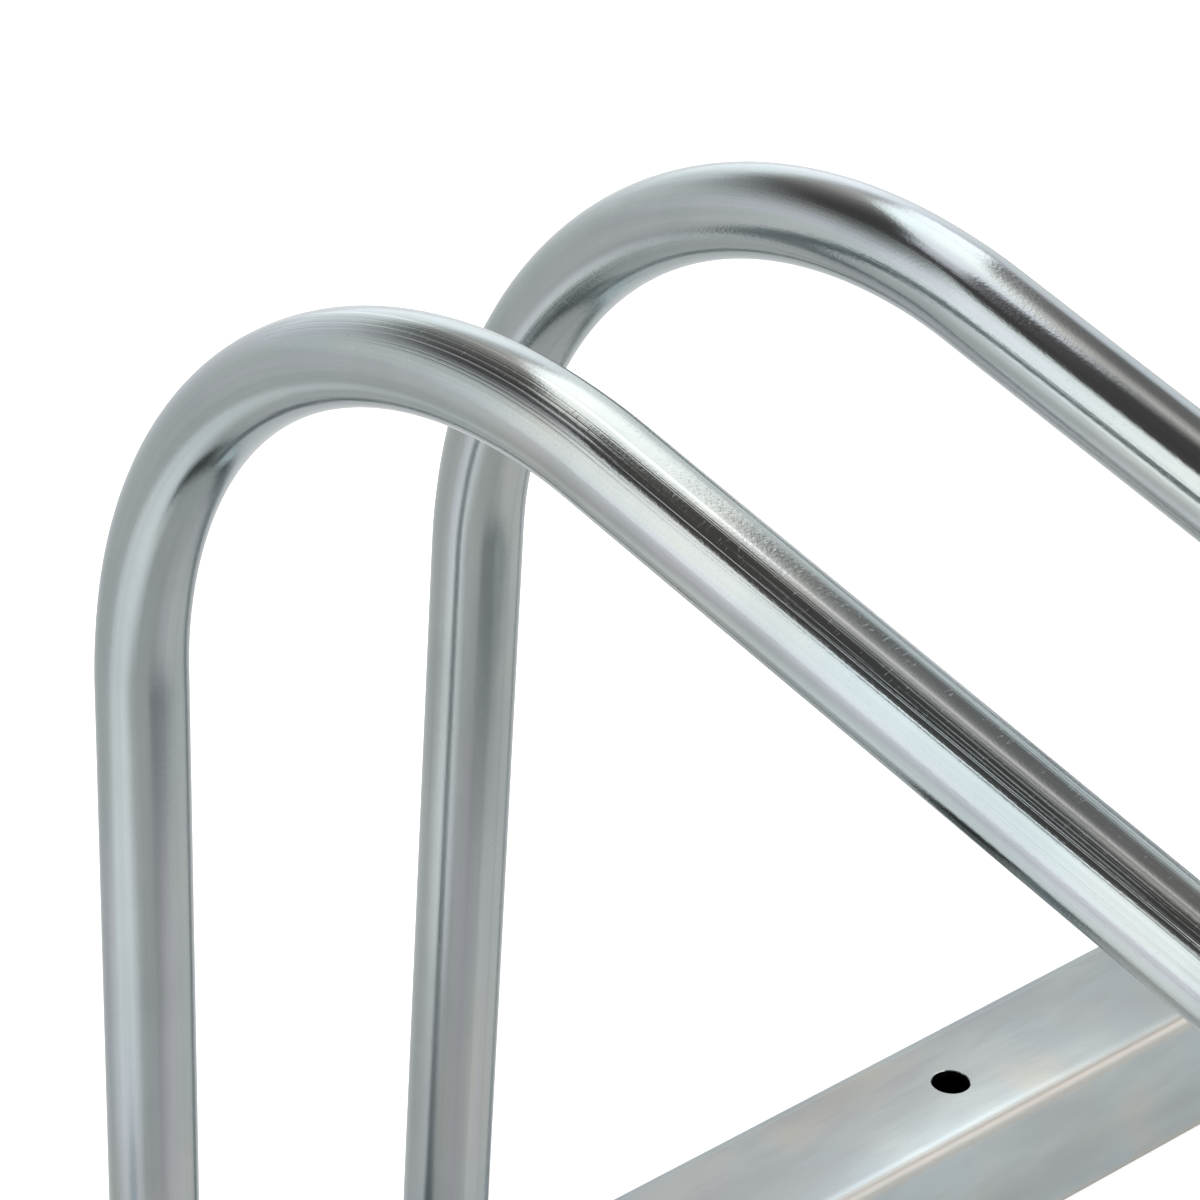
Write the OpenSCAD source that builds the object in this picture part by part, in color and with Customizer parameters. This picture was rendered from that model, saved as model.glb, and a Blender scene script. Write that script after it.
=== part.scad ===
// Floor bike rack for three bicycles: two square rails on the floor, and in
// each bay a pair of bent tube hoops that hold a front wheel between them.
// Millimetres. Z is up, X runs along the rails and the front edge faces -Y.
// The origin is on the floor, under the middle of the rack.

/* [Bays] */
// Distance from the middle of one bay to the middle of the next
bay_pitch = 345; // [260:5:500]
// Clear gap for the tyre between the two hoops of a bay, at their feet
wheel_gap = 51.5; // [30:0.5:80]
// Angle by which each hoop leans out from its foot, so the gap opens upwards
lean = 1.2; // [0:0.1:3]

/* [Hoops] */
// Outside diameter of the hoop tube
tube_d = 16; // [12:0.5:18]
// Wall thickness of the hoop tube
tube_wall = 1.5; // [1:0.1:2.5]
// Height of the straight rear leg, from the rail to the bend
rear_leg = 179.5; // [140:0.5:300]
// Radius of both bends, to the middle of the tube
bend_r = 95; // [60:1:120]
// Fall of the straight top of the hoop towards the front
top_slope = 11; // [0:0.5:18]
// Diameter that the tube loses in its bends, where it is drawn round the former
bend_loss = 0.2; // [0.1:0.05:0.6]

/* [Rails] */
// Distance between the middles of the front and rear rails
rail_spacing = 330; // [260:5:400]
// Width and height of the square rail tube
rail_w = 32; // [30:1:50]
// Wall thickness of the rail tube
rail_wall = 1.5; // [1:0.1:3]
// Inside radius of the rail's rounded corners
corner_in = 0.5; // [0.3:0.1:2]
// Length of rail beyond the middle of each end bay
rail_end = 155; // [90:5:300]
// Diameter of the floor fixing holes
hole_d = 8; // [5:0.5:14]

/* [Welds] */
// Radius of the rounded face of each weld bead
bead_r = 4; // [2.5:0.1:4.5]
// Depth of the bead's centre below the face of the rail
bead_sink = 0.8; // [0:0.1:1.5]

/* [End caps] */
// Thickness of a cap's face at its corners
cap_edge = 1.6; // [1:0.1:4]
// Extra thickness at the middle of a cap's domed face
cap_dome = 1.4; // [0.5:0.1:3]
// Length of the plug inside the rail
plug_l = 16; // [10:1:30]
// Wall thickness of the hollow plug
plug_wall = 2; // [1:0.1:3]
// Thickness of each gripping fin round the plug
fin_t = 1.2; // [0.6:0.1:2]
// Height of the fins above the plug's sleeve
fin_h = 0.8; // [0.4:0.1:1.5]
// Gap between the fins and the inside of the rail
plug_fit = 0.1; // [0:0.05:0.3]

/* [Hidden] */
$fn = 64;

zinc = [0.66, 0.70, 0.72];
weld_grey = [0.52, 0.55, 0.57];
cap_black = [0.07, 0.07, 0.08];

// Which side of its bay a hoop stands on, and which end of the rack a rail or cap is at
left = -1;
right = 1;
rear = 1;
front = -1;

// The middle bay of the three is at the origin
middle_bay = 2;
function bay_x(bay) = (bay - middle_bay) * bay_pitch;
foot_spacing = wheel_gap + tube_d;
function foot_x(bay, side) = bay_x(bay) + side * foot_spacing / 2;
function rail_y(end) = end * rail_spacing / 2;
rail_l = (middle_bay - 1) * 2 * bay_pitch + 2 * rail_end;

// The straight top joins two bends of the same radius, so its fall sets the front leg
flat_run = rail_spacing - 2 * bend_r;
top_l = flat_run / cos(top_slope);
front_leg = rear_leg - flat_run * tan(top_slope);

// Extra tube below the rail's face, trimmed away to cope the leaning foot
trim = 5;

// How far a straight length runs into the bend that carries it on
lap = 1;

// How far a cut runs past the face it opens
past = 1;

corner_out = corner_in + rail_wall;
bore_w = rail_w - 2 * rail_wall;
fin_w = bore_w - 2 * plug_fit;
sleeve_w = fin_w - 2 * fin_h;
// The fins are spaced evenly along the plug
fins = 4;

// A square with rounded corners, centred on the origin
module rounded_square(w, r) {
    square([w - 2 * r, w], center = true);
    square([w, w - 2 * r], center = true);
    for (sx = [-1, 1], sy = [-1, 1])
        translate([sx * (w / 2 - r), sy * (w / 2 - r)])
            circle(r = r);
}

// A square rail lying along X, with its floor fixing holes midway between bays
module rail(end) {
    color(zinc)
        translate([0, rail_y(end), rail_w / 2])
            difference() {
                rotate([90, 0, 90])
                    linear_extrude(height = rail_l, center = true)
                        difference() {
                            rounded_square(rail_w, corner_out);
                            rounded_square(bore_w, corner_in);
                        }
                for (side = [left, right])
                    translate([side * bay_pitch / 2, 0, 0])
                        cylinder(h = rail_w + 2 * past, d = hole_d, center = true);
            }
}

// A round bend in the plane of the hoop, from one angle to another about its centre
module bend(d, from, to) {
    rotate([0, 0, from])
        rotate_extrude(angle = to - from)
            translate([bend_r, 0])
                circle(d = d - bend_loss);
}

// A round bar along the middle line of a hoop, drawn flat: x runs from the rear
// leg to the front leg and y is the height above the rails
module hoop_bar(d) {
    top_start = 90 - top_slope;
    translate([0, -trim, 0])
        rotate([-90, 0, 0])
            cylinder(h = rear_leg + trim + lap, d = d);
    translate([bend_r, rear_leg, 0])
        bend(d, top_start, 180);
    translate([bend_r + bend_r * cos(top_start), rear_leg + bend_r * sin(top_start), 0])
        rotate([0, 90, -top_slope])
            translate([0, 0, -lap])
                cylinder(h = top_l + 2 * lap, d = d);
    translate([rail_spacing - bend_r, front_leg, 0])
        bend(d, 0, top_start);
    translate([rail_spacing, -trim, 0])
        rotate([-90, 0, 0])
            cylinder(h = front_leg + trim + lap, d = d);
}

// A hoop of bent tube, leaning out of its bay and coped flat onto both rails
module hoop(bay, side) {
    color(zinc)
        translate([foot_x(bay, side), 0, rail_w])
            difference() {
                rotate([0, side * lean, 0])
                    translate([0, rail_spacing / 2, 0])
                        rotate([90, 0, -90])
                            difference() {
                                hoop_bar(tube_d);
                                hoop_bar(tube_d - 2 * tube_wall);
                            }
                translate([0, 0, -tube_d / 2])
                    cube([2 * tube_d, rail_spacing + 2 * tube_d, tube_d], center = true);
            }
}

// The weld bead round one foot of a hoop: a rounded fillet cut to the leaning tube
module weld(bay, side, end) {
    tube_r = tube_d / 2;
    color(weld_grey)
        translate([foot_x(bay, side), rail_y(end), rail_w])
            difference() {
                rotate_extrude()
                    intersection() {
                        translate([tube_r, -bead_sink])
                            circle(r = bead_r);
                        translate([tube_r - past, 0])
                            square([bead_r + 2 * past, bead_r]);
                    }
                rotate([0, side * lean, 0])
                    translate([0, 0, -trim])
                        cylinder(h = 2 * trim + bead_r, d = tube_d);
            }
}

// A moulded end cap: a domed face the size of the rail, and a hollow finned plug inside it
module cap(side, end) {
    corner_reach = norm([rail_w / 2, rail_w / 2]);
    dome_r = (corner_reach * corner_reach + cap_dome * cap_dome) / (2 * cap_dome);
    color(cap_black)
        translate([side * rail_l / 2, rail_y(end), rail_w / 2])
            rotate([0, side * 90, 0]) {
                intersection() {
                    linear_extrude(height = cap_edge + cap_dome)
                        rounded_square(rail_w, corner_out);
                    translate([0, 0, cap_edge + cap_dome - dome_r])
                        sphere(r = dome_r, $fn = 200);
                }
                translate([0, 0, -plug_l])
                    difference() {
                        union() {
                            linear_extrude(height = plug_l)
                                rounded_square(sleeve_w, corner_in);
                            for (fin = [0 : fins - 1])
                                translate([0, 0, fin * (plug_l - fin_t) / fins])
                                    linear_extrude(height = fin_t)
                                        rounded_square(fin_w, corner_in);
                        }
                        translate([0, 0, -past])
                            linear_extrude(height = plug_l + past)
                                rounded_square(sleeve_w - 2 * plug_wall, corner_in);
                    }
            }
}

rail(rear);  // rear_rail
rail(front);  // front_rail
hoop(1, left);  // hoop_1_left
hoop(1, right);  // hoop_1_right
hoop(2, left);  // hoop_2_left
hoop(2, right);  // hoop_2_right
hoop(3, left);  // hoop_3_left
hoop(3, right);  // hoop_3_right
cap(left, rear);  // rear_left_cap
cap(right, rear);  // rear_right_cap
cap(left, front);  // front_left_cap
cap(right, front);  // front_right_cap
weld(1, left, rear);  // weld_1_left_rear
weld(1, left, front);  // weld_1_left_front
weld(1, right, rear);  // weld_1_right_rear
weld(1, right, front);  // weld_1_right_front
weld(2, left, rear);  // weld_2_left_rear
weld(2, left, front);  // weld_2_left_front
weld(2, right, rear);  // weld_2_right_rear
weld(2, right, front);  // weld_2_right_front
weld(3, left, rear);  // weld_3_left_rear
weld(3, left, front);  // weld_3_left_front
weld(3, right, rear);  // weld_3_right_rear
weld(3, right, front);  // weld_3_right_front
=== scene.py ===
import math

import bmesh
import bpy
from mathutils import Matrix, Vector


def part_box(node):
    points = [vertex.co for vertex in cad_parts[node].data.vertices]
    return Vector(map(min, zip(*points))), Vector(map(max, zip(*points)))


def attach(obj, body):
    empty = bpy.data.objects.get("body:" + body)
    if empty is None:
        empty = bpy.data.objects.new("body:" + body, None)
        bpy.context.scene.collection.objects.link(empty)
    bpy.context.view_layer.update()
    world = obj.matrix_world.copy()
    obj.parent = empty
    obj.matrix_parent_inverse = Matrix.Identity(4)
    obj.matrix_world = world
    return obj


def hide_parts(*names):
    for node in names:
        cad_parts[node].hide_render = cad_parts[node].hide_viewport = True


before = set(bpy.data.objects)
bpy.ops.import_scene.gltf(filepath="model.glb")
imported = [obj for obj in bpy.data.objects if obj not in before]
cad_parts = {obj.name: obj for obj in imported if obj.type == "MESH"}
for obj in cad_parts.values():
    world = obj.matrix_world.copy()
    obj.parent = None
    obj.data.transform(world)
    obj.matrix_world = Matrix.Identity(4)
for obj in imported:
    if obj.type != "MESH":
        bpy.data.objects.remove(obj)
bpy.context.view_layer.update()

# The looks of a floor bike rack: bent zinc-plated hoops welded to square rails.
# Metres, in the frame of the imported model. X runs along the rails, +Y is the
# tall rear edge and Z is up.

MM = 0.001
MICRON = 1e-6
BAYS = (1, 2, 3)
SIDES = {"left": -1, "right": 1}
ENDS = {"rear": 1, "front": -1}

# Hoop tube, bent as in the solids
TUBE_R = 8 * MM
TUBE_WALL = 1.5 * MM
BEND_R = 95 * MM
BEND_THINNING = 0.1 * MM
REAR_LEG = 179.5 * MM
TOP_SLOPE = math.radians(11)
LEAN = math.radians(1.2)

# Square rail tube
RAIL_WALL = 1.5 * MM
RAIL_CORNER = 2 * MM
RAIL_CROWN = 0.15 * MM
HOLE_R = 4 * MM
HOLE_BURR = 0.15 * MM

# Weld bead round each foot
BEAD_R = 4 * MM
BEAD_SINK = 0.8 * MM

# Moulded end cap
CAP_EDGE = 1.6 * MM
CAP_DOME = 1.4 * MM
CAP_ROUND = 0.5 * MM
PLUG_L = 16 * MM
PLUG_WALL = 2 * MM
FIN_T = 1.2 * MM
FIN_H = 0.8 * MM
FINS = 4
PLUG_FIT = 0.1 * MM

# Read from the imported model: the rails, and where each hoop stands on them
rail_low, rail_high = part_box("rear_rail")
RAIL_W = rail_high.z - rail_low.z
RAIL_L = rail_high.x - rail_low.x
RAIL_TOP = rail_high.z


def rail_y(end):
    """The middle of a rail, from the front to the rear."""
    low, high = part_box(f"{end}_rail")
    return (low.y + high.y) / 2


def foot(bay, side, end):
    """The middle of a hoop's foot, on the top face of a rail."""
    low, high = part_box(f"weld_{bay}_{side}_{end}")
    return Vector(((low.x + high.x) / 2, (low.y + high.y) / 2, RAIL_TOP))


RAIL_SPACING = rail_y("rear") - rail_y("front")
BAY_PITCH = (foot(2, "left", "rear") - foot(1, "left", "rear")).x


# Nodes

def add(tree, kind, inputs=None, **settings):
    """A node, with its inputs linked where a socket is given and set where a value is."""
    node = tree.nodes.new(kind)
    for name, value in settings.items():
        setattr(node, name, value)
    for name, value in (inputs or {}).items():
        if isinstance(value, bpy.types.NodeSocket):
            tree.links.new(value, node.inputs[name])
        else:
            node.inputs[name].default_value = value
    return node


def result(tree, kind, inputs=None, **settings):
    """The first output of a new node."""
    return add(tree, kind, inputs, **settings).outputs[0]


def math_node(tree, operation, *values):
    """The result of one sum on sockets or numbers."""
    return result(tree, "ShaderNodeMath", dict(enumerate(values)), operation=operation)


def plus(tree, a, b):
    return math_node(tree, "ADD", a, b)


def minus(tree, a, b):
    return math_node(tree, "SUBTRACT", a, b)


def times(tree, a, b):
    return math_node(tree, "MULTIPLY", a, b)


def remap(tree, value, low, high, to_low=0.0, to_high=1.0, smooth=True):
    """A value between low and high, moved to between to_low and to_high."""
    kind = "SMOOTHSTEP" if smooth else "LINEAR"
    places = {0: value, 1: low, 2: high, 3: to_low, 4: to_high}
    return result(tree, "ShaderNodeMapRange", places, interpolation_type=kind)


def split_xyz(tree, vector):
    """The x, y and z of a vector."""
    return add(tree, "ShaderNodeSeparateXYZ", {0: vector}).outputs


def join_xyz(tree, x=0.0, y=0.0, z=0.0):
    """The vector with this x, y and z."""
    return result(tree, "ShaderNodeCombineXYZ", {0: x, 1: y, 2: z})


def blend_colour(tree, share, a, b):
    """Colour a turning into colour b as share goes from 0 to 1."""
    node = add(tree, "ShaderNodeMix", {0: share, 6: a, 7: b}, data_type="RGBA")
    return node.outputs[2]


def stain(tree, colour, tint, pattern, low, high, most):
    """A colour under a tint that sets in, by up to most, as a pattern goes from low to high."""
    return blend_colour(tree, remap(tree, pattern, low, high, 0.0, most), colour, tint)


def noise(tree, place, scale, detail=2.0, rough=0.5, offset=(0, 0, 0)):
    """Noise with its own scale along each axis of the given place, per metre."""
    moved = result(
        tree, "ShaderNodeMapping", {"Vector": place, "Location": offset, "Scale": scale})
    inputs = {"Vector": moved, "Scale": 1.0, "Detail": detail, "Roughness": rough}
    return result(tree, "ShaderNodeTexNoise", inputs)


def relief(tree, *layers):
    """The normal of a surface raised by layers of (value, micrometres)."""
    total = 0.0
    for value, rise in layers:
        total = math_node(tree, "MULTIPLY_ADD", value, rise, total)
    return result(tree, "ShaderNodeBump", {"Height": total, "Distance": MICRON, "Strength": 1.0})


def new_material(name):
    """An empty node material, its tree and its surface shader's socket."""
    material = bpy.data.materials.new(name)
    material.use_nodes = True
    tree = material.node_tree
    tree.nodes.clear()
    output = add(tree, "ShaderNodeOutputMaterial")
    return material, tree, output.inputs["Surface"]


def object_place(tree):
    """The place on a piece, in metres, in the frame of the model."""
    return add(tree, "ShaderNodeTexCoord").outputs["Object"]


# Finishes

# Zinc plate seen at a glance along it
EDGE_TINT = (0.86, 0.90, 0.92, 1)

# Zinc plate on the hoops
HOOP_GREY = (0.384, 0.426, 0.422, 1)
HOOP_BLUE = (0.350, 0.402, 0.416, 1)
HOOP_STRAW = (0.440, 0.432, 0.386, 1)
HOOP_VIOLET = (0.374, 0.394, 0.436, 1)
HOOP_DULL = (0.270, 0.304, 0.312, 1)
HOOP_SMOKE = (0.292, 0.332, 0.342, 1)
HOOP_SPECK = (0.22, 0.23, 0.24, 1)
HOOP_POLISH = (0.58, 0.61, 0.61, 1)

# Roughness of the legs and of what the former worked, and how much the clouds add
LEG_ROUGH = 0.19
WORKED_ROUGH = 0.095
CLOUD_ROUGH = 0.03

# Zinc plate on the rails
RAIL_GREY = (0.456, 0.506, 0.510, 1)
RAIL_BLUE = (0.396, 0.470, 0.502, 1)
RAIL_STRAW = (0.486, 0.480, 0.424, 1)
RAIL_DULL = (0.350, 0.392, 0.408, 1)
# Corners of the rails: painted shade on the rear ones, a painted highlight on the front ones,
# their roughness, and how strongly the painted colours show
REAR_CORNER_SHADE = (0.300, 0.335, 0.350, 1)
FRONT_CORNER_HIGHLIGHT = (0.570, 0.556, 0.515, 1)
CORNER_ROUGH = 0.30
PAINTED_CORNER_SHARE = 0.7

# Plate over a weld, and where the heat darkened it
WELD_GREY = (0.385, 0.408, 0.414, 1)
WELD_HEAT = (0.315, 0.320, 0.309, 1)

CAP_BLACK = (0.022, 0.022, 0.024, 1)
CAP_SCUFF = (0.038, 0.038, 0.040, 1)

# Grooves that the drawing die left along the tube: degrees round it from the outer
# side of the bends, half their width in degrees, and their depth in micrometres
DIE_LINES = (
    (28.8, 1.2, 34.0),
    (37.2, 1.4, 40.0),
    (46.3, 0.8, 14.0),
    (50.6, 0.8, 18.0),
    (84.5, 1.6, 12.0),
)

# The line that the former polished: degrees round the tube, half its width, and its strength
POLISH_LINE = (11.6, 2.6, 0.7)


def zinc_shader(tree, surface, colour, rough, normal):
    shader = result(tree, "ShaderNodeBsdfPrincipled", {
        "Metallic": 1.0,
        "Specular Tint": EDGE_TINT,
        "Base Color": colour,
        "Roughness": rough,
        "Normal": normal,
    })
    tree.links.new(shader, surface)


def plate_colour(tree, place, grey, blue, straw, straw_share, finer=1.0):
    """Zinc grey that drifts to blue and, in a few soft patches, to a straw colour."""
    drift_scale = (14 * finer, 14 * finer, 9 * finer)
    patch_scale = (16 * finer, 16 * finer, 11 * finer)
    drift = remap(tree, noise(tree, place, drift_scale), 0.35, 0.65)
    patches = noise(tree, place, patch_scale, 1.5, offset=(3.1, 7.7, 1.9))
    colour = blend_colour(tree, drift, grey, blue)
    return stain(tree, colour, straw, patches, 0.50, 0.74, straw_share)


def beside(tree, angle, at, half_width):
    """1 on a line along the tube at that many degrees round it, 0 from half its width away."""
    away = math_node(tree, "ABSOLUTE", minus(tree, angle, at))
    return remap(tree, away, 0.0, half_width, 1.0, 0.0, smooth=False)


def rubbed_share(tree, drawn, outward, worked):
    """How much the former rubbed the tube: most on its outer flanks, in clusters."""
    flank = times(
        tree,
        remap(tree, outward, 0.15 * TUBE_R, 0.50 * TUBE_R),
        remap(tree, outward, 0.90 * TUBE_R, 0.99 * TUBE_R, 1.0, 0.35))
    rubbed = times(tree, worked, plus(tree, 0.12, flank))
    clusters = remap(tree, noise(tree, drawn, (2, 260, 260), 1.0, offset=(4, 9, 2)), 0.42, 0.58)
    return times(tree, rubbed, plus(tree, 0.25, clusters))


def hoop_relief(tree, drawn, angle, worked, rubbed, grain):
    """Waves, streaks, grain, hair lines, grooves and die lines along the drawn tube."""
    waves = noise(tree, drawn, (3, 170, 170))
    streaks = noise(tree, drawn, (5, 1100, 1100), 3.0, 0.6)
    grooves = noise(tree, drawn, (1.3, 1500, 1500), 1.0, offset=(7, 3, 8))
    grooves = remap(tree, grooves, 0.58, 0.68)
    hairs = noise(tree, drawn, (8, 3400, 3400), 2.0, 0.6, offset=(11, 5, 2))
    hairs = remap(tree, hairs, 0.50, 0.68)
    ticks = noise(tree, drawn, (3200, 800, 800), 1.0, offset=(1, 6, 3))
    ticks = remap(tree, ticks, 0.66, 0.74)
    layers = [
        (waves, 70.0),
        (streaks, 9.0),
        (grain, 14.0),
        (times(tree, ticks, rubbed), 9.0),
        (times(tree, hairs, plus(tree, 0.06, rubbed)), -13.0),
        (times(tree, grooves, rubbed), -16.0),
    ]
    fading = noise(tree, drawn, (11, 30, 30), 1.0, offset=(3, 3, 3))
    fading = times(tree, remap(tree, fading, 0.36, 0.54, 0.2, 1.0), worked)
    for at, half_width, depth in DIE_LINES:
        layers.append((times(tree, beside(tree, angle, at, half_width), fading), -depth))
    return relief(tree, *layers)


def hoop_colour(tree, place, drawn, angle, worked, grain):
    """Plate with violet bands, dull streaks, smoky clouds, dark specks and a polished line."""
    bands = noise(tree, drawn, (7, 260, 260), offset=(2, 1, 5))
    streaks = noise(tree, drawn, (4, 620, 620), 4.0, 0.65, offset=(6, 2, 9))
    clouds = noise(tree, place, (48, 48, 30), 3.0, 0.6, offset=(8, 8, 1))
    colour = plate_colour(tree, place, HOOP_GREY, HOOP_BLUE, HOOP_STRAW, 0.55)
    colour = stain(tree, colour, HOOP_VIOLET, bands, 0.46, 0.66, 0.7)
    colour = stain(tree, colour, HOOP_DULL, streaks, 0.42, 0.70, 0.38)
    colour = stain(tree, colour, HOOP_SMOKE, clouds, 0.42, 0.72, 0.40)
    colour = stain(tree, colour, HOOP_SPECK, grain, 0.64, 0.76, 0.45)
    at, half_width, strength = POLISH_LINE
    polish = times(tree, beside(tree, angle, at, half_width), times(tree, worked, strength))
    return blend_colour(tree, polish, colour, HOOP_POLISH)


def hoop_zinc():
    """Bright zinc plate on drawn tube, whose lines and fine grain follow the bends."""
    material, tree, surface = new_material("bright zinc on drawn tube")
    place = object_place(tree)
    drawn = add(tree, "ShaderNodeAttribute", attribute_name="drawn").outputs["Vector"]
    worked = add(tree, "ShaderNodeAttribute", attribute_name="worked").outputs["Fac"]
    _, outward, sideways = split_xyz(tree, drawn)
    angle = math_node(tree, "DEGREES", math_node(tree, "ARCTAN2", sideways, outward))
    grain = noise(tree, drawn, (1500, 2600, 2600), 2.0, 0.7)
    rubbed = rubbed_share(tree, drawn, outward, worked)

    # The legs stay satin, and the former polishes the rest
    clouds = remap(tree, noise(tree, place, (30, 30, 30), 3.0), 0.3, 0.7)
    rough = remap(tree, worked, 0.0, 1.0, LEG_ROUGH, WORKED_ROUGH)
    rough = math_node(tree, "MULTIPLY_ADD", clouds, CLOUD_ROUGH, rough)

    colour = hoop_colour(tree, place, drawn, angle, worked, grain)
    normal = hoop_relief(tree, drawn, angle, worked, rubbed, grain)
    zinc_shader(tree, surface, colour, rough, normal)
    return material


def rail_zinc():
    """Softer zinc plate on the square tube: soft clouds and faint lengthwise rolling marks, with
    painted shade on the rear corners and a painted highlight on the front ones.
    """
    material, tree, surface = new_material("cloudy zinc on square tube")
    place = object_place(tree)
    clouds = noise(tree, place, (24, 60, 60))
    wisps = noise(tree, place, (70, 240, 240), offset=(2, 6, 9))
    waves = noise(tree, place, (22, 40, 40), offset=(5, 2, 4))
    rolling = noise(tree, place, (3, 700, 700))
    grain = noise(tree, place, (900, 1600, 1600), 2.0, 0.6)
    normal = relief(tree, (waves, 60.0), (rolling, 2.5), (grain, 4.0))
    colour = plate_colour(tree, place, RAIL_GREY, RAIL_BLUE, RAIL_STRAW, 0.9, finer=2.2)
    colour = stain(tree, colour, RAIL_DULL, clouds, 0.34, 0.68, 0.80)
    colour = stain(tree, colour, RAIL_DULL, wisps, 0.42, 0.70, 0.40)
    rough = remap(tree, clouds, 0.3, 0.7, 0.14, 0.19)

    # The rolled corners are more satin than the flats. A painted highlight lightens the front
    # corners, and painted shade darkens the rear ones
    _, along_y, along_z = split_xyz(tree, place)
    middle_y = times(tree, math_node(tree, "SIGN", along_y), RAIL_SPACING / 2)
    across = minus(tree, along_y, middle_y)
    front = math_node(tree, "LESS_THAN", across, 0.0)
    across = math_node(tree, "ABSOLUTE", across)
    above = math_node(tree, "ABSOLUTE", minus(tree, along_z, RAIL_W / 2))
    flat_end = RAIL_W - RAIL_CORNER
    corner = remap(tree, plus(tree, across, above), flat_end - 1.4 * MM, flat_end)
    rough = math_node(tree, "MULTIPLY_ADD", corner, CORNER_ROUGH, rough)
    # Painted highlight on the front corners, painted shade on the rear ones
    painted_corner_light = blend_colour(tree, front, REAR_CORNER_SHADE, FRONT_CORNER_HIGHLIGHT)
    colour = blend_colour(tree, times(tree, corner, PAINTED_CORNER_SHARE), colour, painted_corner_light)
    zinc_shader(tree, surface, colour, rough, normal)
    return material


def weld_zinc():
    """Duller, finely pitted zinc plate over a weld bead."""
    material, tree, surface = new_material("dull zinc on weld bead")
    place = object_place(tree)
    pits = noise(tree, place, (1500, 1500, 1500), 3.0, 0.6)
    heat = remap(tree, noise(tree, place, (180, 180, 180)), 0.4, 0.65)
    colour = blend_colour(tree, heat, WELD_GREY, WELD_HEAT)
    rough = remap(tree, pits, 0.3, 0.7, 0.34, 0.5)
    zinc_shader(tree, surface, colour, rough, relief(tree, (pits, 20.0)))
    return material


def cap_plastic():
    """Black moulded plastic with a fine even grain."""
    material, tree, surface = new_material("grained black moulding")
    place = object_place(tree)
    grain = noise(tree, place, (1800, 1800, 1800), 2.0, 0.6)
    scuff = remap(tree, noise(tree, place, (120, 120, 120), 3.0), 0.5, 0.7)
    shader = result(tree, "ShaderNodeBsdfPrincipled", {
        "Base Color": blend_colour(tree, scuff, CAP_BLACK, CAP_SCUFF),
        "Roughness": remap(tree, scuff, 0.0, 1.0, 0.48, 0.6),
        "Normal": relief(tree, (grain, 30.0)),
    })
    tree.links.new(shader, surface)
    return material


# Meshes

# Edges sharper than this many degrees stay sharp, and fewer do on swept tube and beads
SHARP = 35
SWEPT_SHARP = 50


def new_piece(name, mesh, material, nodes):
    """A finished piece that rides on the rack and stands for its nodes of the frame."""
    mesh.name = name
    mesh.materials.clear()
    mesh.materials.append(material)
    piece = bpy.data.objects.new(name, mesh)
    bpy.context.scene.collection.objects.link(piece)
    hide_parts(*nodes)
    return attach(piece, "root")


def smooth_by_angle(mesh, degrees=SHARP):
    """Smooth faces, with the edges sharper than an angle kept sharp."""
    body = bmesh.new()
    body.from_mesh(mesh)
    bmesh.ops.recalc_face_normals(body, faces=body.faces)
    for face in body.faces:
        face.smooth = True
    for edge in body.edges:
        edge.smooth = edge.calc_face_angle(0) < math.radians(degrees)
    body.to_mesh(mesh)
    body.free()


def mesh_from_rings(name, rings, loop=False):
    """A closed mesh through rings of points.

    A loop joins the last ring to the first, and otherwise both ends are filled."""
    count = len(rings[0])
    points = [p for ring in rings for p in ring]
    faces = []
    for i in range(len(rings) if loop else len(rings) - 1):
        a, b = i * count, (i + 1) % len(rings) * count
        for j in range(count):
            k = (j + 1) % count
            faces.append((a + j, a + k, b + k, b + j))
    if not loop:
        last = (len(rings) - 1) * count
        faces.append(tuple(reversed(range(count))))
        faces.append(tuple(range(last, last + count)))
    mesh = bpy.data.meshes.new(name)
    mesh.from_pydata(points, [], faces)
    return mesh


def evaluated_mesh(thing):
    """The plain mesh of an object with its modifiers worked out. The object goes."""
    graph = bpy.context.evaluated_depsgraph_get()
    mesh = bpy.data.meshes.new_from_object(thing.evaluated_get(graph), depsgraph=graph)
    thing.modifiers.clear()
    bpy.data.objects.remove(thing)
    return mesh


def grown(source, tree, values):
    """The mesh that a geometry node tree makes of an object, with its named inputs set."""
    modifier = source.modifiers.new(tree.name, "NODES")
    modifier.node_group = tree
    for item in tree.interface.items_tree:
        if item.item_type == "SOCKET" and item.in_out == "INPUT" and item.name in values:
            modifier[item.identifier] = values[item.name]
    bpy.context.scene.collection.objects.link(source)
    return evaluated_mesh(source)


def curve_object(name, points, widths=None, closed=False):
    """An object with one curve of straight runs through points."""
    curve = bpy.data.curves.new(name, "CURVE")
    curve.dimensions = "3D"
    spline = curve.splines.new("POLY")
    spline.use_cyclic_u = closed
    spline.points.add(len(points) - 1)
    for point, place, width in zip(spline.points, points, widths or [1.0] * len(points)):
        point.co = (*place, 1)
        point.radius = width
    return bpy.data.objects.new(name, curve)


def new_tree(name, inputs):
    """A geometry node tree, its input sockets by name, and its output node."""
    tree = bpy.data.node_groups.new(name, "GeometryNodeTree")
    tree.interface.new_socket("Geometry", in_out="INPUT", socket_type="NodeSocketGeometry")
    for label, kind in inputs.items():
        tree.interface.new_socket(label, in_out="INPUT", socket_type=kind)
    tree.interface.new_socket("Geometry", in_out="OUTPUT", socket_type="NodeSocketGeometry")
    source = add(tree, "NodeGroupInput")
    return tree, source.outputs, add(tree, "NodeGroupOutput")


def finish_tree(tree, geometry, material, output):
    """Ends a tree in Realize Instances and Set Material."""
    real = result(tree, "GeometryNodeRealizeInstances", {"Geometry": geometry})
    made = result(tree, "GeometryNodeSetMaterial", {"Geometry": real, "Material": material})
    tree.links.new(made, output.inputs[0])


def joined(tree, *parts):
    """Several geometries as one."""
    join = add(tree, "GeometryNodeJoinGeometry")
    for part in parts:
        tree.links.new(part, join.inputs[0])
    return join.outputs[0]


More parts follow.
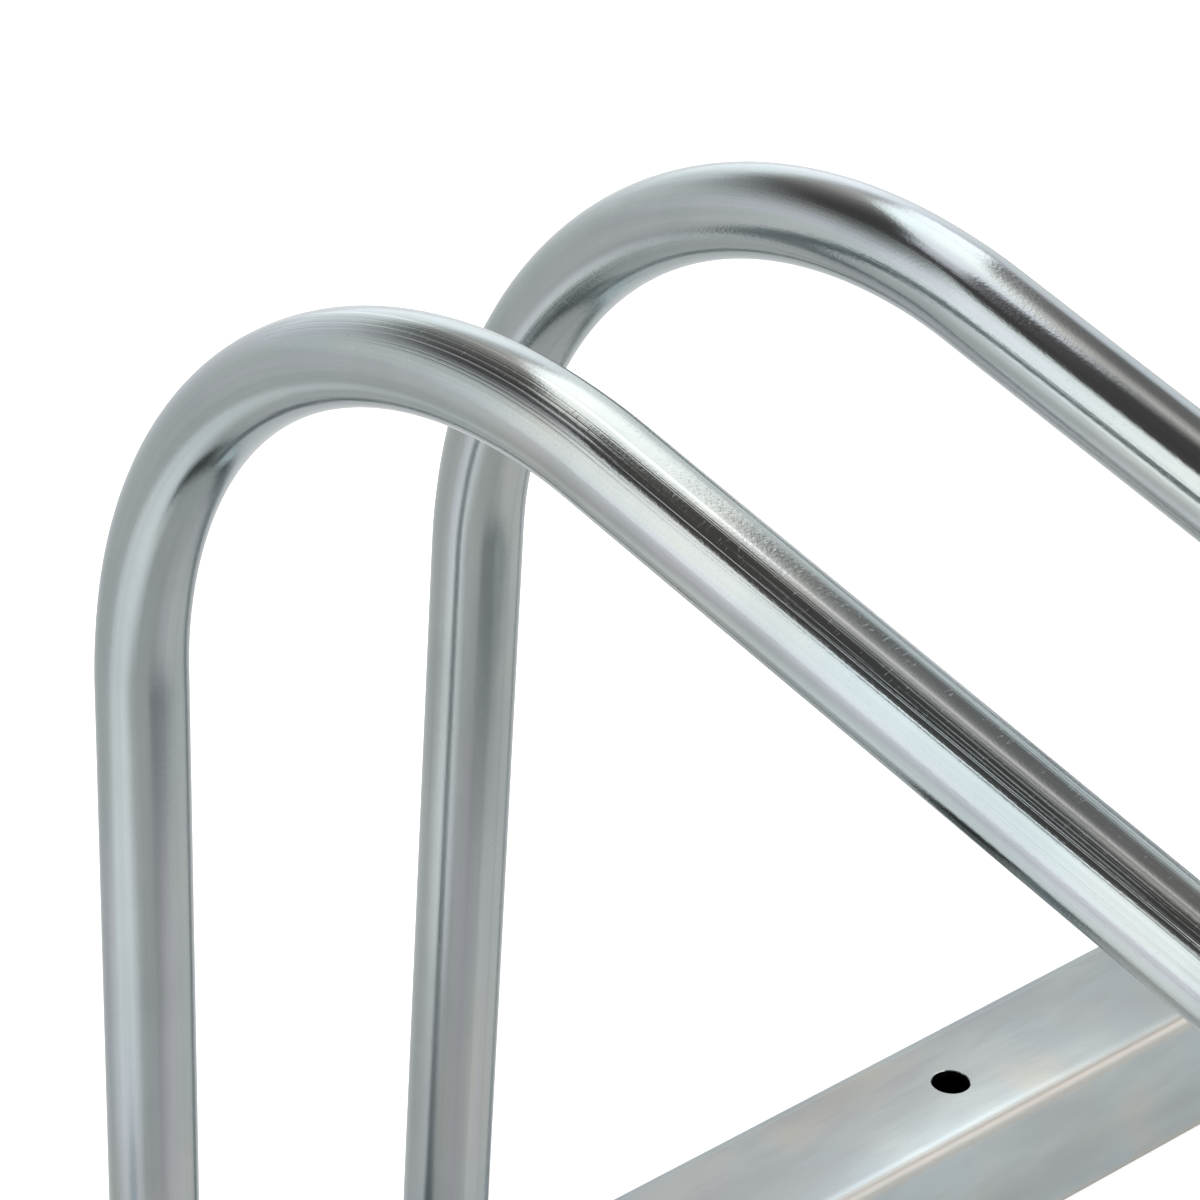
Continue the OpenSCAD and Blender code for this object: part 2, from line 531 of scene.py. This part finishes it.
def capture(tree, geometry, kind, value):
    """Keeps a value on a curve's points, as (geometry, the kept value)."""
    node = add(tree, "GeometryNodeCaptureAttribute", domain="POINT")
    node.capture_items.new(kind, "Kept")
    tree.links.new(geometry, node.inputs["Geometry"])
    tree.links.new(value, node.inputs["Kept"])
    return node.outputs["Geometry"], node.outputs["Kept"]


def stored(tree, geometry, name, value, kind):
    """A mesh with a value kept on its points as a named attribute."""
    inputs = {"Geometry": geometry, "Name": name, "Value": value}
    return result(
        tree, "GeometryNodeStoreNamedAttribute", inputs, data_type=kind, domain="POINT")


# Hoops

# Length of each straight run of the swept tube, and its faces round
RING_STEP = 2 * MM
TUBE_SIDES = 64

# Length over which the tube thins as it enters a bend
BEND_IN = 10 * MM

# Height over the rail below which a leaning foot is pressed level
COPE_REACH = 0.4 * MM

# Points nearer than this become one where a foot is closed
SEAM = 0.01 * MM


def hoop_line(bay, side):
    """The middle line of a hoop from its rear foot to its front foot, as points and shares.

    A share is how much of the bends' thinning the tube has there. On the flat, x runs from
    the rear leg to the front leg and y is the height above the rails."""
    top_start = math.pi / 2 - TOP_SLOPE
    flat_run = RAIL_SPACING - 2 * BEND_R
    front_leg = REAR_LEG - flat_run * math.tan(TOP_SLOPE)

    def run(a, b):
        steps = max(1, round((b - a).length / RING_STEP))
        return [a.lerp(b, i / steps) for i in range(steps)]

    def arc(centre, start, end):
        steps = round(abs(start - end) * BEND_R / RING_STEP)
        turns = [start + (end - start) * i / steps for i in range(steps)]
        return [centre + BEND_R * Vector((math.cos(t), math.sin(t))) for t in turns]

    rear_bend = Vector((BEND_R, REAR_LEG))
    front_bend = Vector((RAIL_SPACING - BEND_R, front_leg))
    slope_off = BEND_R * Vector((math.cos(top_start), math.sin(top_start)))
    flat = []
    thinned = []
    for points, bends in (
        (run(Vector((0, 0)), Vector((0, REAR_LEG))), False),
        (arc(rear_bend, math.pi, top_start), True),
        (run(rear_bend + slope_off, front_bend + slope_off), False),
        (arc(front_bend, top_start, 0), True),
        (run(Vector((RAIL_SPACING, front_leg)), Vector((RAIL_SPACING, 0))), False),
    ):
        for i, point in enumerate(points):
            inside = min(i, len(points) - i) * RING_STEP / BEND_IN if bends else 0
            flat.append(point)
            thinned.append(min(1, inside))
    flat.append(Vector((RAIL_SPACING, 0)))
    thinned.append(0)
    start = foot(bay, side, "rear")
    out = SIDES[side] * math.sin(LEAN)
    line = [start + Vector((out * p.y, -p.x, p.y * math.cos(LEAN))) for p in flat]
    return line, thinned


def tube_tree(material):
    """Sweeps a hollow tube along a curve, copes its feet level with the rail and closes them.

    It keeps two values. One is drawn, the place on the mill's straight tube, whose x runs on
    from where this hoop was cut. The other is worked, 1 where the former bent or rubbed the
    tube and 0 on the legs."""
    tree, given, output = new_tree("bent tube", {
        "Cut From": "NodeSocketFloat",
        "First Bend": "NodeSocketFloat",
        "Last Bend": "NodeSocketFloat",
        "Tube Radius": "NodeSocketFloat",
        "Wall": "NodeSocketFloat",
        "Sides": "NodeSocketInt",
        "Rail Face": "NodeSocketFloat",
        "Cope Reach": "NodeSocketFloat",
    })
    along = add(tree, "GeometryNodeSplineParameter").outputs["Length"]

    # The former's work fades in over the rear bend and is gone a little past the front one
    first = remap(tree, minus(tree, along, given["First Bend"]), 0.0, BEND_R)
    last = remap(tree, minus(tree, given["Last Bend"], along), -BEND_R / 2, 0.0)
    line, worked = capture(tree, given["Geometry"], "FLOAT", times(tree, first, last))
    line, along = capture(tree, line, "FLOAT", plus(tree, along, given["Cut From"]))
    shells = []
    for inner in (False, True):
        radius = given["Tube Radius"]
        if inner:
            radius = minus(tree, radius, given["Wall"])
        circle = result(
            tree, "GeometryNodeCurvePrimitiveCircle",
            {"Resolution": given["Sides"], "Radius": radius})
        around = result(tree, "GeometryNodeInputPosition")
        circle, around = capture(tree, circle, "VECTOR", around)
        thinning = result(tree, "GeometryNodeInputRadius")
        shell = result(
            tree, "GeometryNodeCurveToMesh",
            {"Curve": line, "Profile Curve": circle, "Scale": thinning})
        outward, sideways, _ = split_xyz(tree, around)
        drawn = join_xyz(tree, along, outward, sideways)
        shell = stored(tree, shell, "drawn", drawn, "FLOAT_VECTOR")
        shell = stored(tree, shell, "worked", worked, "FLOAT")
        if inner:
            shell = result(tree, "GeometryNodeFlipFaces", {0: shell})
        shells.append(shell)
    both = joined(tree, *shells)

    x, y, z = split_xyz(tree, result(tree, "GeometryNodeInputPosition"))
    low = math_node(tree, "LESS_THAN", z, plus(tree, given["Rail Face"], given["Cope Reach"]))
    level = join_xyz(tree, x, y, given["Rail Face"])
    coped = result(
        tree, "GeometryNodeSetPosition",
        {"Geometry": both, "Selection": low, "Position": level})

    # Each foot ends in two loops of edges with one face each, which are filled between
    neighbours = result(tree, "GeometryNodeInputMeshEdgeNeighbors")
    rim = result(
        tree, "FunctionNodeCompare", {2: neighbours, 3: 1}, data_type="INT", operation="EQUAL")
    loops = result(tree, "GeometryNodeMeshToCurve", {"Mesh": coped, "Selection": rim})
    ends = result(tree, "GeometryNodeFillCurve", {"Curve": loops})
    down = result(tree, "GeometryNodeFlipFaces", {0: ends})
    lift = join_xyz(tree, z=given["Rail Face"])
    seated = result(tree, "GeometryNodeTransform", {"Geometry": down, "Translation": lift})
    whole = joined(tree, coped, seated)
    sealed = result(
        tree, "GeometryNodeMergeByDistance", {"Geometry": whole, "Distance": SEAM})
    finish_tree(tree, sealed, material, output)
    return tree


def make_hoops(material):
    tree = tube_tree(material)
    sizes = {
        "Tube Radius": TUBE_R,
        "Wall": TUBE_WALL,
        "Sides": TUBE_SIDES,
        "Rail Face": RAIL_TOP,
        "Cope Reach": COPE_REACH,
    }
    for bay in BAYS:
        for side in SIDES:
            line, thinned = hoop_line(bay, side)
            bends = [i for i, share in enumerate(thinned) if share > 0]
            steps = [math.dist(a, b) for a, b in zip(line, line[1:])]
            sizes["First Bend"] = sum(steps[:bends[0]])
            sizes["Last Bend"] = sum(steps[:bends[-1]])
            sizes["Cut From"] = (2 * bay + (SIDES[side] > 0)) * sum(steps)
            widths = [1 - share * BEND_THINNING / TUBE_R for share in thinned]
            mesh = grown(curve_object("hoop line", line, widths), tree, sizes)
            smooth_by_angle(mesh, SWEPT_SHARP)
            name = f"bent_tube_{bay}_{side}"
            new_piece(name, mesh, material, [f"hoop_{bay}_{side}"])


# Welds

# Ripples round a bead, how deep each dips, and the rings of faces in each
RIPPLES = 22
RIPPLE_DEPTH = 0.35 * MM
RIPPLE_STEPS = 12

# How far the crescent of a ripple trails at the bead's edges, in ripples
CRESCENT = 0.9

# Where a bead's ripples start, in ripples, and how far that moves with bay, side and end
FIRST_START = 10
START_BY_BAY = 0.7
START_BY_SIDE = 1.9
START_BY_END = 0.9


def bead_section():
    """The outline of a bead beside the tube, as distance from the tube's wall and height."""
    arc_steps = 16
    inside = -0.4 * MM
    start = math.asin(BEAD_SINK / BEAD_R)
    points = [(inside, 0.0)]
    for i in range(arc_steps + 1):
        turn = start + (math.pi / 2 - start) * i / arc_steps
        points.append((BEAD_R * math.cos(turn), BEAD_R * math.sin(turn) - BEAD_SINK))
    points.append((inside, BEAD_R - BEAD_SINK))
    return points


def bead_tree(material):
    """Sweeps a bead's section round the tube's foot and dents it into ripples.

    Each ripple laps over the one before, in a shallow crescent."""
    tree, given, output = new_tree("weld bead", {
        "Foot": "NodeSocketVector",
        "Tube Radius": "NodeSocketFloat",
        "Bead Radius": "NodeSocketFloat",
        "Ripples": "NodeSocketInt",
        "Steps": "NodeSocketInt",
        "Depth": "NodeSocketFloat",
        "Start": "NodeSocketFloat",
    })
    ring = result(tree, "GeometryNodeCurvePrimitiveCircle", {
        "Resolution": times(tree, given["Ripples"], given["Steps"]),
        "Radius": given["Tube Radius"],
    })
    ring, on_ring = capture(tree, ring, "VECTOR", result(tree, "GeometryNodeInputPosition"))
    outline, on_outline = capture(
        tree, given["Geometry"], "VECTOR", result(tree, "GeometryNodeInputPosition"))
    bead = result(tree, "GeometryNodeCurveToMesh", {"Curve": ring, "Profile Curve": outline})

    ring_x, ring_y, _ = split_xyz(tree, on_ring)
    turn = math_node(tree, "ARCTAN2", ring_y, ring_x)
    out, up, _ = split_xyz(tree, on_outline)
    across = minus(tree, math_node(tree, "DIVIDE", out, given["Bead Radius"]), 0.5)
    across = math_node(tree, "POWER", math_node(tree, "ABSOLUTE", across), 2.0)
    crescent = times(tree, CRESCENT, across)
    lap = times(tree, given["Ripples"], math_node(tree, "DIVIDE", turn, 2 * math.pi))
    lap = plus(tree, minus(tree, lap, crescent), given["Start"])
    phase = math_node(tree, "FLOORED_MODULO", lap, 1.0)
    dip = math_node(tree, "POWER", minus(tree, 1.0, phase), 2.0)
    dip = times(tree, dip, given["Depth"])

    # The points inside the tube's wall and on the rail stay where they are
    open_side = times(
        tree,
        math_node(tree, "GREATER_THAN", out, 0.0),
        math_node(tree, "GREATER_THAN", up, MICRON))
    dip = times(tree, dip, open_side)
    reach = minus(tree, plus(tree, given["Tube Radius"], out), dip)
    dented = join_xyz(
        tree,
        times(tree, reach, math_node(tree, "COSINE", turn)),
        times(tree, reach, math_node(tree, "SINE", turn)),
        minus(tree, up, math_node(tree, "MINIMUM", dip, up)))
    placed = result(tree, "ShaderNodeVectorMath", {0: dented, 1: given["Foot"]}, operation="ADD")
    shaped = result(tree, "GeometryNodeSetPosition", {"Geometry": bead, "Position": placed})
    finish_tree(tree, shaped, material, output)
    return tree


def make_welds(material):
    tree = bead_tree(material)
    outline = [(x, y, 0) for x, y in bead_section()]
    sizes = {
        "Tube Radius": TUBE_R,
        "Bead Radius": BEAD_R,
        "Ripples": RIPPLES,
        "Steps": RIPPLE_STEPS,
        "Depth": RIPPLE_DEPTH,
    }
    for bay in BAYS:
        for side in SIDES:
            for end in ENDS:
                start = FIRST_START + START_BY_BAY * bay
                start = start + START_BY_SIDE * SIDES[side] + START_BY_END * ENDS[end]
                sizes["Start"] = start
                sizes["Foot"] = foot(bay, side, end)
                mesh = grown(curve_object("bead outline", outline, closed=True), tree, sizes)
                smooth_by_angle(mesh, SWEPT_SHARP)
                name = f"bead_{bay}_{side}_{end}"
                new_piece(name, mesh, material, [f"weld_{bay}_{side}_{end}"])


# Rails and caps

# Runs along each side of a square section, and round each of its corners
SIDE_STEPS = 12
CORNER_STEPS = 8


def rounded_square(width, corner, crown=0.0):
    """Points round a square whose rounded corners run smoothly into its crowned sides."""
    half = width / 2
    tilt = math.atan(2 * crown / (half - corner))
    centre = half - crown - corner * math.cos(tilt)
    reach = centre + corner * math.sin(tilt)
    points = []
    for quarter in range(4):
        turn = Matrix.Rotation(quarter * math.pi / 2, 2)
        side = []
        for i in range(SIDE_STEPS + 1):
            t = -1 + 2 * i / SIDE_STEPS
            side.append(Vector((half - crown * t * t, reach * t)))
        for i in range(1, CORNER_STEPS):
            a = tilt + (math.pi / 2 - 2 * tilt) * i / CORNER_STEPS
            side.append(Vector((centre + corner * math.cos(a), centre + corner * math.sin(a))))
        points += [turn @ p for p in side]
    return points


def hole_cutter(x, y):
    """A cutter for one fixing hole, flared a little where it leaves the rail's outer faces."""
    past = 1 * MM
    sides = 64
    flare = HOLE_R + HOLE_BURR
    stations = (
        (-past, flare + past),
        (HOLE_BURR, HOLE_R),
        (RAIL_W - HOLE_BURR, HOLE_R),
        (RAIL_W + past, flare + past),
    )
    turns = [2 * math.pi * i / sides for i in range(sides)]
    rings = []
    for z, r in stations:
        rings.append([(x + r * math.cos(t), y + r * math.sin(t), z) for t in turns])
    mesh = mesh_from_rings("hole cutter", rings)
    smooth_by_angle(mesh)
    cutter = bpy.data.objects.new("hole cutter", mesh)
    bpy.context.scene.collection.objects.link(cutter)
    return cutter


def make_rails(material):
    outer = rounded_square(RAIL_W, RAIL_CORNER, RAIL_CROWN)
    inner = rounded_square(RAIL_W - 2 * RAIL_WALL, RAIL_CORNER - RAIL_WALL, RAIL_CROWN)
    ends = (-RAIL_L / 2, RAIL_L / 2)
    for end in ENDS:
        middle = Vector((0, rail_y(end), RAIL_W / 2))
        rings = []
        for section, order in ((outer, ends), (inner, ends[::-1])):
            for x in order:
                rings.append([middle + Vector((x, p.x, p.y)) for p in section])
        mesh = mesh_from_rings("rail", rings, loop=True)
        smooth_by_angle(mesh)
        rail = bpy.data.objects.new("rail", mesh)
        bpy.context.scene.collection.objects.link(rail)
        cutters = [hole_cutter(side * BAY_PITCH / 2, middle.y) for side in SIDES.values()]
        for cutter in cutters:
            cut = rail.modifiers.new("fixing hole", "BOOLEAN")
            cut.operation = "DIFFERENCE"
            cut.solver = "EXACT"
            cut.object = cutter
        mesh = evaluated_mesh(rail)
        for cutter in cutters:
            bpy.data.objects.remove(cutter)
        smooth_by_angle(mesh)
        new_piece(f"square_tube_{end}", mesh, material, [f"{end}_rail"])


def cap_rings():
    """A cap as rings of points, from the middle of its domed face to the floor of its hollow plug.

    Here x and y cross the rail, and z runs out of its end."""
    corner_reach = math.hypot(RAIL_W / 2, RAIL_W / 2)
    dome_r = (corner_reach ** 2 + CAP_DOME ** 2) / (2 * CAP_DOME)
    bore = RAIL_W - 2 * RAIL_WALL
    fin_w = bore - 2 * PLUG_FIT
    sleeve_w = fin_w - 2 * FIN_H
    hollow_w = sleeve_w - 2 * PLUG_WALL
    plug_corner = RAIL_CORNER - RAIL_WALL
    face_w = RAIL_W - 2 * CAP_ROUND
    face_steps = 10
    first_step = 0.35
    round_steps = 5

    def flat_ring(width, corner, z):
        return [Vector((p.x, p.y, z)) for p in rounded_square(width, corner)]

    def domed_ring(width, corner, drop=0.0):
        top = CAP_EDGE + CAP_DOME
        return [Vector((p.x, p.y, top - p.length_squared / (2 * dome_r) - drop))
                for p in rounded_square(width, corner)]

    rings = []
    for i in range(face_steps):
        share = (i + first_step) / face_steps
        rings.append(domed_ring(face_w * share, RAIL_CORNER * share))
    for i in range(round_steps + 1):
        a = math.pi / 2 * i / round_steps
        width = face_w + 2 * CAP_ROUND * math.sin(a)
        rings.append(domed_ring(width, RAIL_CORNER, CAP_ROUND * (1 - math.cos(a))))
    rings.append(flat_ring(RAIL_W, RAIL_CORNER, 0.0))
    rings.append(flat_ring(sleeve_w, plug_corner, 0.0))
    for fin in reversed(range(FINS)):
        low = fin * (PLUG_L - FIN_T) / FINS - PLUG_L
        rings.append(flat_ring(sleeve_w, plug_corner, low + FIN_T))
        rings.append(flat_ring(fin_w, plug_corner, low + FIN_T))
        rings.append(flat_ring(fin_w, plug_corner, low))
        if fin:
            rings.append(flat_ring(sleeve_w, plug_corner, low))
    rings.append(flat_ring(hollow_w, plug_corner, -PLUG_L))
    rings.append(flat_ring(hollow_w, plug_corner, 0.0))
    return rings


def make_caps(material):
    rings = cap_rings()
    for end in ENDS:
        for side, out in SIDES.items():
            seat = Vector((out * RAIL_L / 2, rail_y(end), RAIL_W / 2))
            placed = [[seat + Vector((out * p.z, p.x, p.y)) for p in ring] for ring in rings]
            mesh = mesh_from_rings("cap", placed)
            smooth_by_angle(mesh)
            name = f"moulded_cap_{end}_{side}"
            new_piece(name, mesh, material, [f"{end}_{side}_cap"])


# Studio

WHITE = (1, 1, 1, 1)

# The floor's half width, its paint, how rough and how strong its shine is, and the light
# that it adds of its own to the camera's view and in the metal
FLOOR_REACH = 40
FLOOR_PAINT = (0.8, 0.8, 0.8, 1)
FLOOR_ROUGH = 0.28
FLOOR_IOR = 2.2
FLOOR_SEEN = 0.67
FLOOR_MIRRORED = 0.18

# Light of the backdrop at the left, of the ceiling, and of what the lamps spill on it, and
# the ceiling's tint
BACKDROP = 0.9
CEILING = 0.11
SPILL = 0.78
WARM = (1.10, 1.0, 0.96, 1)

# The middle of what the lamps light: the upper rear of the bay that the camera looks at
LIT_MIDDLE = Vector((-0.35, 0.1, 0.28))

# Left softbox: (y, share, top) of each row, at one x
LEFT_LIGHT = 2.07
LEFT_X = -1.6
LEFT_FOOT = 0.02
LEFT_BORDER = 0.07
LEFT_ROWS = (
    (-0.06, 0.0, 1.45),
    (0.06, 1.0, 1.45),
    (0.62, 1.0, 1.46),
    (0.82, 0.74, 1.62),
    (1.15, 0.24, 2.06),
    (1.59, 0.10, 2.20),
    (2.27, 0.04, 2.30),
    (3.0, 0.0, 2.30),
)

# Overhead softbox: (near, far, share, far border) of each row. Places are x and y from the
# lit middle, in units of the softbox's height above it
OVERHEAD_LIGHT = 2.5
OVERHEAD_HEIGHT = 0.50
NEAR_BORDER = 0.03
OVERHEAD_ROWS = (
    ((-0.46, 0.36), (-0.45, 0.46), 0.0, 0.035),
    ((-0.36, 0.30), (-0.34, 0.54), 0.28, 0.05),
    ((-0.20, 0.28), (-0.20, 0.55), 0.46, 0.05),
    ((-0.10, 0.26), (-0.11, 0.50), 0.60, 0.06),
    ((0.00, 0.22), (-0.02, 0.515), 0.78, 0.06),
    ((0.10, 0.165), (0.08, 0.56), 0.84, 0.06),
    ((0.25, 0.19), (0.22, 0.63), 0.88, 0.06),
    ((0.40, 0.24), (0.38, 0.73), 0.94, 0.07),
    ((0.60, 0.31), (0.56, 0.85), 1.0, 0.09),
    ((0.85, 0.40), (0.80, 0.955), 1.0, 0.09),
    ((1.10, 0.505), (1.03, 1.01), 1.0, 0.09),
    ((1.45, 0.67), (1.40, 1.18), 1.0, 0.09),
    ((1.80, 0.83), (1.75, 1.37), 0.97, 0.10),
    ((2.10, 0.97), (2.05, 1.54), 0.0, 0.10),
)

# Floor card: (x, share) and (y, share) of its rows and columns, just over the floor
CARD_LIGHT = 1.50
CARD_LIFT = 2 * MM
CARD_X = ((-1.15, 0.0), (-0.95, 1.0), (-0.56, 1.0), (-0.47, 0.0))
CARD_Y = ((0.02, 0.0), (0.12, 1.0), (0.24, 1.0), (0.38, 0.0))

# The camera that took the photograph: its place, its azimuth and how far it looks down, in
# degrees, its roll in radians and its lens in millimetres
CAMERA_PLACE = (-0.9066, -0.4961, 0.7383)
CAMERA_AZIMUTH = 43.59
CAMERA_DOWN = 31.13
CAMERA_ROLL = 0.0428
CAMERA_LENS = 177.27


def ray_is(tree, *kinds):
    """1 for rays of any of these kinds, and otherwise 0."""
    path = add(tree, "ShaderNodeLightPath")
    total = path.outputs[kinds[0]]
    for kind in kinds[1:]:
        total = math_node(tree, "MAXIMUM", total, path.outputs[kind])
    return total


def mixed(tree, share, a, b):
    """Shader a turning into shader b as share goes from 0 to 1."""
    return result(tree, "ShaderNodeMixShader", {0: share, 1: a, 2: b})


def make_floor():
    """A plain pale floor, white to the camera and pale in the metal, that keeps the shadows."""
    material, tree, surface = new_material("pale studio floor")
    pale = result(tree, "ShaderNodeBsdfDiffuse", {"Color": FLOOR_PAINT})
    shine = result(
        tree, "ShaderNodeBsdfAnisotropic", {"Color": WHITE, "Roughness": FLOOR_ROUGH})
    lit = mixed(tree, result(tree, "ShaderNodeFresnel", {"IOR": FLOOR_IOR}), pale, shine)
    seen = times(tree, ray_is(tree, "Is Camera Ray", "Is Transmission Ray"), FLOOR_SEEN)
    mirrored = times(tree, ray_is(tree, "Is Glossy Ray"), FLOOR_MIRRORED)
    lift = math_node(tree, "MAXIMUM", seen, mirrored)
    glow = result(tree, "ShaderNodeEmission", {"Color": WHITE, "Strength": lift})
    tree.links.new(result(tree, "ShaderNodeAddShader", {0: lit, 1: glow}), surface)
    reach = FLOOR_REACH
    mesh = bpy.data.meshes.new("floor")
    mesh.from_pydata(
        [(-reach, -reach, 0), (reach, -reach, 0), (reach, reach, 0), (-reach, reach, 0)],
        [], [(0, 1, 2, 3)])
    mesh.materials.append(material)
    floor = bpy.data.objects.new("floor", mesh)
    bpy.context.scene.collection.objects.link(floor)


def make_softbox(name, rows, radiance, lights_floor=True):
    """A panel of light through rows of (place, share), which shines towards the rack.

    The camera doesn't see it. A share under 1 lets what is behind show through, so that the
    edges are soft. A panel that doesn't light the floor casts no shadow either."""
    material, tree, surface = new_material(name)
    share = add(tree, "ShaderNodeAttribute", attribute_name="share").outputs["Fac"]
    back = add(tree, "ShaderNodeNewGeometry").outputs["Backfacing"]
    front_share = times(tree, minus(tree, 1.0, back), share)
    glow = result(tree, "ShaderNodeEmission", {"Color": WHITE, "Strength": radiance})
    clear = result(tree, "ShaderNodeBsdfTransparent")
    tree.links.new(mixed(tree, front_share, clear, glow), surface)
    count = len(rows[0])
    points = [place for row in rows for place, _ in row]
    faces = []
    for i in range(len(rows) - 1):
        for j in range(count - 1):
            a = i * count + j
            faces.append((a, a + 1, a + count + 1, a + count))
    mesh = bpy.data.meshes.new(name)
    mesh.from_pydata(points, [], faces)
    shares = mesh.attributes.new("share", "FLOAT", "POINT")
    shares.data.foreach_set("value", [share for row in rows for _, share in row])
    face = mesh.polygons[0]
    if face.normal.dot(LIT_MIDDLE - face.center) < 0:
        mesh.flip_normals()
    mesh.materials.append(material)
    panel = bpy.data.objects.new(name, mesh)
    bpy.context.scene.collection.objects.link(panel)
    panel.visible_camera = False
    panel.visible_diffuse = lights_floor
    panel.visible_shadow = lights_floor


def make_softboxes():
    """A softbox on the left, a broad one overhead and a white card that lies on the floor.

    The overhead one widens to the right rear. The card lies left of the rails and shows in
    the legs alone."""
    left = []
    for y, share, top in LEFT_ROWS:
        left.append([
            (Vector((LEFT_X, y, LEFT_FOOT)), share),
            (Vector((LEFT_X, y, top - LEFT_BORDER)), share),
            (Vector((LEFT_X, y, top + LEFT_BORDER)), 0.0),
        ])
    make_softbox("left softbox", left, LEFT_LIGHT)

    overhead = []
    for near, far, share, far_border in OVERHEAD_ROWS:
        near, far = Vector((*near, 1)), Vector((*far, 1))
        across = (far - near).normalized()
        row = (
            (near - NEAR_BORDER * across, 0.0),
            (near + NEAR_BORDER * across, share),
            (far - far_border * across, share),
            (far + far_border * across, 0.0),
        )
        overhead.append([(LIT_MIDDLE + OVERHEAD_HEIGHT * place, part) for place, part in row])
    make_softbox("overhead softbox", overhead, OVERHEAD_LIGHT)

    card = []
    for x, share in CARD_X:
        card.append([(Vector((x, y, CARD_LIFT)), share * part) for y, part in CARD_Y])
    make_softbox("floor card", card, CARD_LIGHT, lights_floor=False)


def make_world():
    """A white backdrop round the rack, under a dim warm ceiling that the lamps light in part.

    Heights and azimuths are in degrees, and azimuth 0 is +Y and 90 is +X."""
    world = bpy.data.worlds.new("studio")
    bpy.context.scene.world = world
    world.use_nodes = True
    tree = world.node_tree
    tree.nodes.clear()
    x, y, z = split_xyz(tree, add(tree, "ShaderNodeTexCoord").outputs["Generated"])
    height = math_node(tree, "DEGREES", math_node(tree, "ARCSINE", z))
    azimuth = math_node(tree, "DEGREES", math_node(tree, "ARCTAN2", x, y))

    # The backdrop fades upwards, and is dimmer on the left and past the right
    wall_foot = remap(tree, azimuth, -10, 10, 9, 15)
    wall_head = remap(tree, azimuth, -10, 10, 38, 30)
    wall = remap(tree, height, wall_foot, wall_head, 1.0, 0.0)
    level = remap(tree, azimuth, -8, 30, BACKDROP, 1.0)
    past_right = remap(tree, azimuth, 66, 84, 1.0, 0.4)
    wall = times(tree, wall, times(tree, level, past_right))

    # The lamps spill on the ceiling, most towards the rear right
    spill = remap(tree, azimuth, -20, 35, smooth=False)
    spill = math_node(tree, "POWER", spill, 2.2)
    past_spill = remap(tree, azimuth, 45, 62, 1.0, 0.22)
    spill = times(tree, times(tree, spill, past_spill), SPILL)
    ceiling = plus(tree, spill, CEILING)

    # A fill light takes up the right
    fill_level = remap(tree, height, 15, 40, 1.2, 1.9)
    fill_head = remap(tree, height, 55, 70, 1.0, 0.0)
    fill = times(tree, remap(tree, azimuth, 68, 84), times(tree, fill_level, fill_head))

    studio = math_node(tree, "MAXIMUM", plus(tree, wall, ceiling), fill)
    seen = ray_is(tree, "Is Camera Ray", "Is Transmission Ray")
    warmth = times(tree, remap(tree, height, 20, 40), minus(tree, 1.0, seen))
    background = result(tree, "ShaderNodeBackground", {
        "Color": blend_colour(tree, warmth, WHITE, WARM),
        "Strength": math_node(tree, "MAXIMUM", studio, seen),
    })
    output = add(tree, "ShaderNodeOutputWorld")
    tree.links.new(background, output.inputs["Surface"])


def make_camera():
    """The photograph's camera: a long lens, from the front left and above."""
    azimuth = math.radians(CAMERA_AZIMUTH)
    down = math.radians(CAMERA_DOWN)
    ahead = Vector((
        math.sin(azimuth) * math.cos(down),
        math.cos(azimuth) * math.cos(down),
        -math.sin(down)))
    level = ahead.cross(Vector((0, 0, 1))).normalized()
    upright = level.cross(ahead)
    right = math.cos(CAMERA_ROLL) * level + math.sin(CAMERA_ROLL) * upright
    up = math.cos(CAMERA_ROLL) * upright - math.sin(CAMERA_ROLL) * level
    data = bpy.data.cameras.new("camera")
    data.sensor_width = 36
    data.lens = CAMERA_LENS
    data.clip_start = 0.05
    data.clip_end = 200
    camera = bpy.data.objects.new("camera", data)
    bpy.context.scene.collection.objects.link(camera)
    turn = Matrix((right, up, -ahead)).transposed().to_4x4()
    camera.matrix_world = Matrix.Translation(CAMERA_PLACE) @ turn
    bpy.context.scene.camera = camera


make_camera()
make_world()
make_floor()
make_softboxes()
make_hoops(hoop_zinc())
make_welds(weld_zinc())
make_rails(rail_zinc())
make_caps(cap_plastic())

bpy.context.scene.view_settings.view_transform = "Standard"
